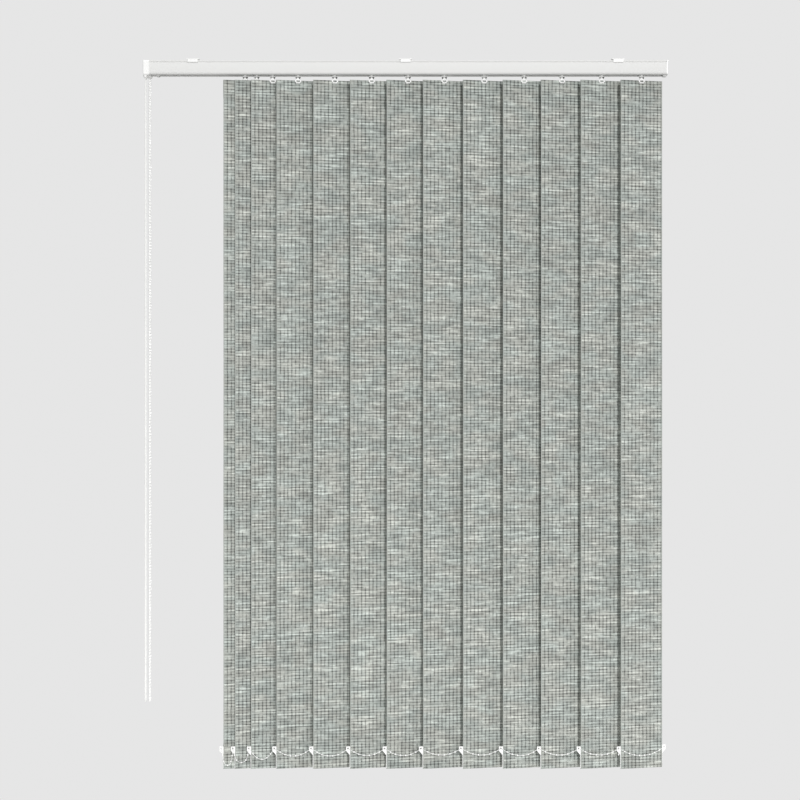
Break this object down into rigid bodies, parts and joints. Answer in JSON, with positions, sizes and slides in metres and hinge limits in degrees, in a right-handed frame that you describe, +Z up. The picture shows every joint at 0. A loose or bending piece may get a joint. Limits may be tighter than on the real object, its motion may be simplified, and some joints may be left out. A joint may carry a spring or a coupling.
{
  "type": "vertical blind",
  "caption": "Vertical blind: ceiling-fixed white headrail with sliding carriers, hanging turnable woven cloth slats, weighted and chained at the foot, with a pull cord and a tilt chain.",
  "frame": {"origin": "centre of the ceiling brackets' top face, at the rail's mid length and mid depth", "axes": "+Z up, +X along the rail to the stack end, +Y towards the window, room side -Y"},
  "size_m": [1.046, 0.0452, 1.417],
  "materials": {
    "rail_white": "satin",
    "cap_white": "gloss",
    "bracket_white": "satin",
    "carrier_plastic": "matt",
    "rod_metal": "bare",
    "slat_cloth": "slub weave",
    "fitting_white": "satin",
    "cord_white": "braided",
    "chain_white": "satin"
  },
  "bodies": {
    "rail": {"headrail": "rail_white", "control_end_cap": "cap_white", "idle_end_cap": "cap_white", "ceiling_brackets": "bracket_white", "pull_cord": "cord_white", "tilt_chain": "chain_white", "carrier_13": "carrier_plastic"},
    "tilt_shaft": {"tilt_rod": "rod_metal", "chain_wheel": "carrier_plastic"},
    "chain_13": {"bottom_chain_end": "chain_white"},
    "vane_01": {"slat_01": "slat_cloth", "slat_fittings_01": "fitting_white"},
    "carriage_01": {"carrier_01": "carrier_plastic"},
    "chain_01": {"bottom_chain_01": "chain_white"},
    "vane_02": {"slat_02": "slat_cloth", "slat_fittings_02": "fitting_white"},
    "carriage_02": {"carrier_02": "carrier_plastic"},
    "chain_02": {"bottom_chain_02": "chain_white"},
    "vane_03": {"slat_03": "slat_cloth", "slat_fittings_03": "fitting_white"},
    "carriage_03": {"carrier_03": "carrier_plastic"},
    "chain_03": {"bottom_chain_03": "chain_white"},
    "vane_04": {"slat_04": "slat_cloth", "slat_fittings_04": "fitting_white"},
    "carriage_04": {"carrier_04": "carrier_plastic"},
    "chain_04": {"bottom_chain_04": "chain_white"},
    "vane_05": {"slat_05": "slat_cloth", "slat_fittings_05": "fitting_white"},
    "carriage_05": {"carrier_05": "carrier_plastic"},
    "chain_05": {"bottom_chain_05": "chain_white"},
    "vane_06": {"slat_06": "slat_cloth", "slat_fittings_06": "fitting_white"},
    "carriage_06": {"carrier_06": "carrier_plastic"},
    "chain_06": {"bottom_chain_06": "chain_white"},
    "vane_07": {"slat_07": "slat_cloth", "slat_fittings_07": "fitting_white"},
    "carriage_07": {"carrier_07": "carrier_plastic"},
    "chain_07": {"bottom_chain_07": "chain_white"},
    "vane_08": {"slat_08": "slat_cloth", "slat_fittings_08": "fitting_white"},
    "carriage_08": {"carrier_08": "carrier_plastic"},
    "chain_08": {"bottom_chain_08": "chain_white"},
    "vane_09": {"slat_09": "slat_cloth", "slat_fittings_09": "fitting_white"},
    "carriage_09": {"carrier_09": "carrier_plastic"},
    "chain_09": {"bottom_chain_09": "chain_white"},
    "vane_10": {"slat_10": "slat_cloth", "slat_fittings_10": "fitting_white"},
    "carriage_10": {"carrier_10": "carrier_plastic"},
    "chain_10": {"bottom_chain_10": "chain_white"},
    "vane_11": {"slat_11": "slat_cloth", "slat_fittings_11": "fitting_white"},
    "carriage_11": {"carrier_11": "carrier_plastic"},
    "chain_11": {"bottom_chain_11": "chain_white"},
    "vane_12": {"slat_12": "slat_cloth", "slat_fittings_12": "fitting_white"},
    "carriage_12": {"carrier_12": "carrier_plastic"},
    "chain_12": {"bottom_chain_12": "chain_white"},
    "vane_13": {"slat_13": "slat_cloth", "slat_fittings_13": "fitting_white"}
  },
  "joints": [
    {"name": "turn_13", "type": "hinge", "parent": "rail", "child": "vane_13", "pos_m": [0.472, 0, -0.03], "axis": [0, 0, 1], "range_deg": [0, 146]},
    {"name": "gap_12", "type": "slide", "parent": "rail", "child": "carriage_12", "axis": [-1, 0, 0], "range_m": [-0.0613, 0]},
    {"name": "turn_12", "type": "hinge", "parent": "carriage_12", "child": "vane_12", "pos_m": [0.3922, 0, -0.03], "axis": [0, 0, 1], "range_deg": [0, 146]},
    {"name": "gap_11", "type": "slide", "parent": "carriage_12", "child": "carriage_11", "axis": [-1, 0, 0], "range_m": [-0.0609, 0]},
    {"name": "turn_11", "type": "hinge", "parent": "carriage_11", "child": "vane_11", "pos_m": [0.3128, 0, -0.03], "axis": [0, 0, 1], "range_deg": [0, 146]},
    {"name": "gap_10", "type": "slide", "parent": "carriage_11", "child": "carriage_10", "axis": [-1, 0, 0], "range_m": [-0.0573, 0]},
    {"name": "turn_10", "type": "hinge", "parent": "carriage_10", "child": "vane_10", "pos_m": [0.237, 0, -0.03], "axis": [0, 0, 1], "range_deg": [0, 146]},
    {"name": "gap_09", "type": "slide", "parent": "carriage_10", "child": "carriage_09", "axis": [-1, 0, 0], "range_m": [-0.0611, 0]},
    {"name": "turn_09", "type": "hinge", "parent": "carriage_09", "child": "vane_09", "pos_m": [0.1574, 0, -0.03], "axis": [0, 0, 1], "range_deg": [0, 146]},
    {"name": "gap_08", "type": "slide", "parent": "carriage_09", "child": "carriage_08", "axis": [-1, 0, 0], "range_m": [-0.0613, 0]},
    {"name": "turn_08", "type": "hinge", "parent": "carriage_08", "child": "vane_08", "pos_m": [0.0776, 0, -0.03], "axis": [0, 0, 1], "range_deg": [0, 146]},
    {"name": "gap_07", "type": "slide", "parent": "carriage_08", "child": "carriage_07", "axis": [-1, 0, 0], "range_m": [-0.0541, 0]},
    {"name": "turn_07", "type": "hinge", "parent": "carriage_07", "child": "vane_07", "pos_m": [0.005, 0, -0.03], "axis": [0, 0, 1], "range_deg": [0, 146]},
    {"name": "gap_06", "type": "slide", "parent": "carriage_07", "child": "carriage_06", "axis": [-1, 0, 0], "range_m": [-0.0543, 0]},
    {"name": "turn_06", "type": "hinge", "parent": "carriage_06", "child": "vane_06", "pos_m": [-0.0678, 0, -0.03], "axis": [0, 0, 1], "range_deg": [0, 146]},
    {"name": "gap_05", "type": "slide", "parent": "carriage_06", "child": "carriage_05", "axis": [-1, 0, 0], "range_m": [-0.0551, 0]},
    {"name": "turn_05", "type": "hinge", "parent": "carriage_05", "child": "vane_05", "pos_m": [-0.1414, 0, -0.03], "axis": [0, 0, 1], "range_deg": [0, 146]},
    {"name": "gap_04", "type": "slide", "parent": "carriage_05", "child": "carriage_04", "axis": [-1, 0, 0], "range_m": [-0.0551, 0]},
    {"name": "turn_04", "type": "hinge", "parent": "carriage_04", "child": "vane_04", "pos_m": [-0.215, 0, -0.03], "axis": [0, 0, 1], "range_deg": [0, 146]},
    {"name": "gap_03", "type": "slide", "parent": "carriage_04", "child": "carriage_03", "axis": [-1, 0, 0], "range_m": [-0.0321, 0.0294]},
    {"name": "turn_03", "type": "hinge", "parent": "carriage_03", "child": "vane_03", "pos_m": [-0.2656, 0, -0.03], "axis": [0, 0, 1], "range_deg": [0, 146]},
    {"name": "gap_02", "type": "slide", "parent": "carriage_03", "child": "carriage_02", "axis": [-1, 0, 0], "range_m": [-0.0135, 0.048]},
    {"name": "turn_02", "type": "hinge", "parent": "carriage_02", "child": "vane_02", "pos_m": [-0.2976, 0, -0.03], "axis": [0, 0, 1], "range_deg": [0, 146]},
    {"name": "gap_01", "type": "slide", "parent": "carriage_02", "child": "carriage_01", "axis": [-1, 0, 0], "range_m": [-0.0045, 0.057]},
    {"name": "turn_01", "type": "hinge", "parent": "carriage_01", "child": "vane_01", "pos_m": [-0.3206, 0, -0.03], "axis": [0, 0, 1], "range_deg": [0, 146]},
    {"name": "shaft_spin", "type": "hinge", "parent": "rail", "child": "tilt_shaft", "pos_m": [0, 0.008, -0.0165], "axis": [1, 0, 0], "range_deg": [0, 1460]},
    {"name": "chain_swivel", "type": "hinge", "parent": "vane_13", "child": "chain_13", "pos_m": [0.42485, -0.01339, -1.376], "axis": [0, 0, 1], "range_deg": [-146, 0]},
    {"name": "chain_gap_12", "type": "slide", "parent": "chain_13", "child": "chain_12", "axis": [-1, 0, 0], "range_m": [-0.0613, 0], "deforming": ["bottom_chain_12"]},
    {"name": "chain_gap_11", "type": "slide", "parent": "chain_12", "child": "chain_11", "axis": [-1, 0, 0], "range_m": [-0.0609, 0], "deforming": ["bottom_chain_11"]},
    {"name": "chain_gap_10", "type": "slide", "parent": "chain_11", "child": "chain_10", "axis": [-1, 0, 0], "range_m": [-0.0573, 0], "deforming": ["bottom_chain_10"]},
    {"name": "chain_gap_09", "type": "slide", "parent": "chain_10", "child": "chain_09", "axis": [-1, 0, 0], "range_m": [-0.0611, 0], "deforming": ["bottom_chain_09"]},
    {"name": "chain_gap_08", "type": "slide", "parent": "chain_09", "child": "chain_08", "axis": [-1, 0, 0], "range_m": [-0.0613, 0], "deforming": ["bottom_chain_08"]},
    {"name": "chain_gap_07", "type": "slide", "parent": "chain_08", "child": "chain_07", "axis": [-1, 0, 0], "range_m": [-0.0541, 0], "deforming": ["bottom_chain_07"]},
    {"name": "chain_gap_06", "type": "slide", "parent": "chain_07", "child": "chain_06", "axis": [-1, 0, 0], "range_m": [-0.0543, 0], "deforming": ["bottom_chain_06"]},
    {"name": "chain_gap_05", "type": "slide", "parent": "chain_06", "child": "chain_05", "axis": [-1, 0, 0], "range_m": [-0.0551, 0], "deforming": ["bottom_chain_05"]},
    {"name": "chain_gap_04", "type": "slide", "parent": "chain_05", "child": "chain_04", "axis": [-1, 0, 0], "range_m": [-0.0551, 0], "deforming": ["bottom_chain_04"]},
    {"name": "chain_gap_03", "type": "slide", "parent": "chain_04", "child": "chain_03", "axis": [-1, 0, 0], "range_m": [-0.0321, 0.0294], "deforming": ["bottom_chain_03"]},
    {"name": "chain_gap_02", "type": "slide", "parent": "chain_03", "child": "chain_02", "axis": [-1, 0, 0], "range_m": [-0.0135, 0.048], "deforming": ["bottom_chain_02"]},
    {"name": "chain_gap_01", "type": "slide", "parent": "chain_02", "child": "chain_01", "axis": [-1, 0, 0], "range_m": [-0.0045, 0.057], "deforming": ["bottom_chain_01"]}
  ],
  "couplings": [
    {"joint": "turn_12", "follows": "turn_13", "ratio": 1},
    {"joint": "turn_11", "follows": "turn_13", "ratio": 1},
    {"joint": "turn_10", "follows": "turn_13", "ratio": 1},
    {"joint": "turn_09", "follows": "turn_13", "ratio": 1},
    {"joint": "turn_08", "follows": "turn_13", "ratio": 1},
    {"joint": "turn_07", "follows": "turn_13", "ratio": 1},
    {"joint": "turn_06", "follows": "turn_13", "ratio": 1},
    {"joint": "turn_05", "follows": "turn_13", "ratio": 1},
    {"joint": "turn_04", "follows": "turn_13", "ratio": 1},
    {"joint": "turn_03", "follows": "turn_13", "ratio": 1},
    {"joint": "turn_02", "follows": "turn_13", "ratio": 1},
    {"joint": "turn_01", "follows": "turn_13", "ratio": 1},
    {"joint": "shaft_spin", "follows": "turn_13", "ratio": 10},
    {"joint": "chain_swivel", "follows": "turn_13", "ratio": -1},
    {"joint": "chain_gap_12", "follows": "gap_12", "ratio": 1},
    {"joint": "chain_gap_11", "follows": "gap_11", "ratio": 1},
    {"joint": "chain_gap_10", "follows": "gap_10", "ratio": 1},
    {"joint": "chain_gap_09", "follows": "gap_09", "ratio": 1},
    {"joint": "chain_gap_08", "follows": "gap_08", "ratio": 1},
    {"joint": "chain_gap_07", "follows": "gap_07", "ratio": 1},
    {"joint": "chain_gap_06", "follows": "gap_06", "ratio": 1},
    {"joint": "chain_gap_05", "follows": "gap_05", "ratio": 1},
    {"joint": "chain_gap_04", "follows": "gap_04", "ratio": 1},
    {"joint": "chain_gap_03", "follows": "gap_03", "ratio": 1},
    {"joint": "chain_gap_02", "follows": "gap_02", "ratio": 1},
    {"joint": "chain_gap_01", "follows": "gap_01", "ratio": 1}
  ]
}
